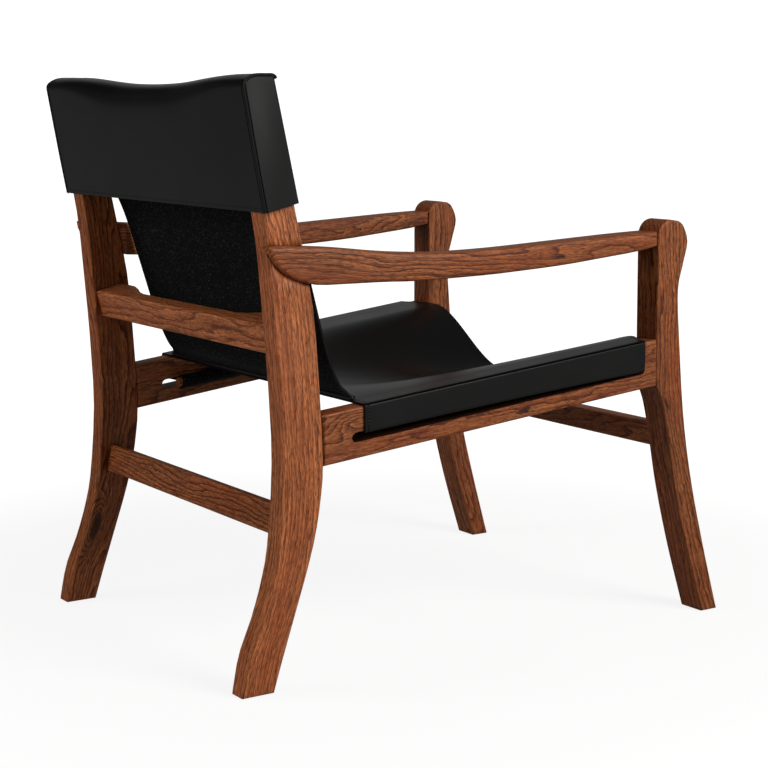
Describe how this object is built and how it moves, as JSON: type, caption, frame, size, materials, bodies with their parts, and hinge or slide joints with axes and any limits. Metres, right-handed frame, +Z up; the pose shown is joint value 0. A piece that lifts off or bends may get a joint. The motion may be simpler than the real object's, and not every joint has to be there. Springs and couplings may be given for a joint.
{
  "type": "leather sling lounge chair",
  "caption": "Low open-arm lounge chair: curved hardwood frame with slotted side rails, and a seat and sloping back of thick black leather slung between them.",
  "frame": {"origin": "on the floor, below the middle of the chair's overall width and length", "axes": "+Z up, the chair faces -Y, and the sitter's left is +X"},
  "size_m": [0.6308, 0.813, 0.8024],
  "materials": {
    "frame_wood": "oiled reddish-brown hardwood with open dark grain",
    "dowel_wood": "plain turned hardwood",
    "sling_leather": "smooth black, satin"
  },
  "bodies": {
    "root": {"rear_leg_left": "frame_wood", "rear_leg_right": "frame_wood", "front_leg_left": "frame_wood", "front_leg_right": "frame_wood", "side_rail_left": "frame_wood", "side_rail_right": "frame_wood", "armrest_left": "frame_wood", "armrest_right": "frame_wood", "lower_back_rail": "frame_wood", "rear_stretcher": "frame_wood", "front_stretcher": "frame_wood", "armrest_front_pin_left": "dowel_wood", "armrest_front_pin_right": "dowel_wood", "armrest_rear_pin_left": "dowel_wood", "armrest_rear_pin_right": "dowel_wood", "sling_dowel_left": "dowel_wood", "sling_dowel_right": "dowel_wood", "seat_sling": "sling_leather", "back_sling": "sling_leather", "back_band": "sling_leather", "band_gusset_left": "sling_leather", "band_gusset_right": "sling_leather"}
  },
  "joints": []
}
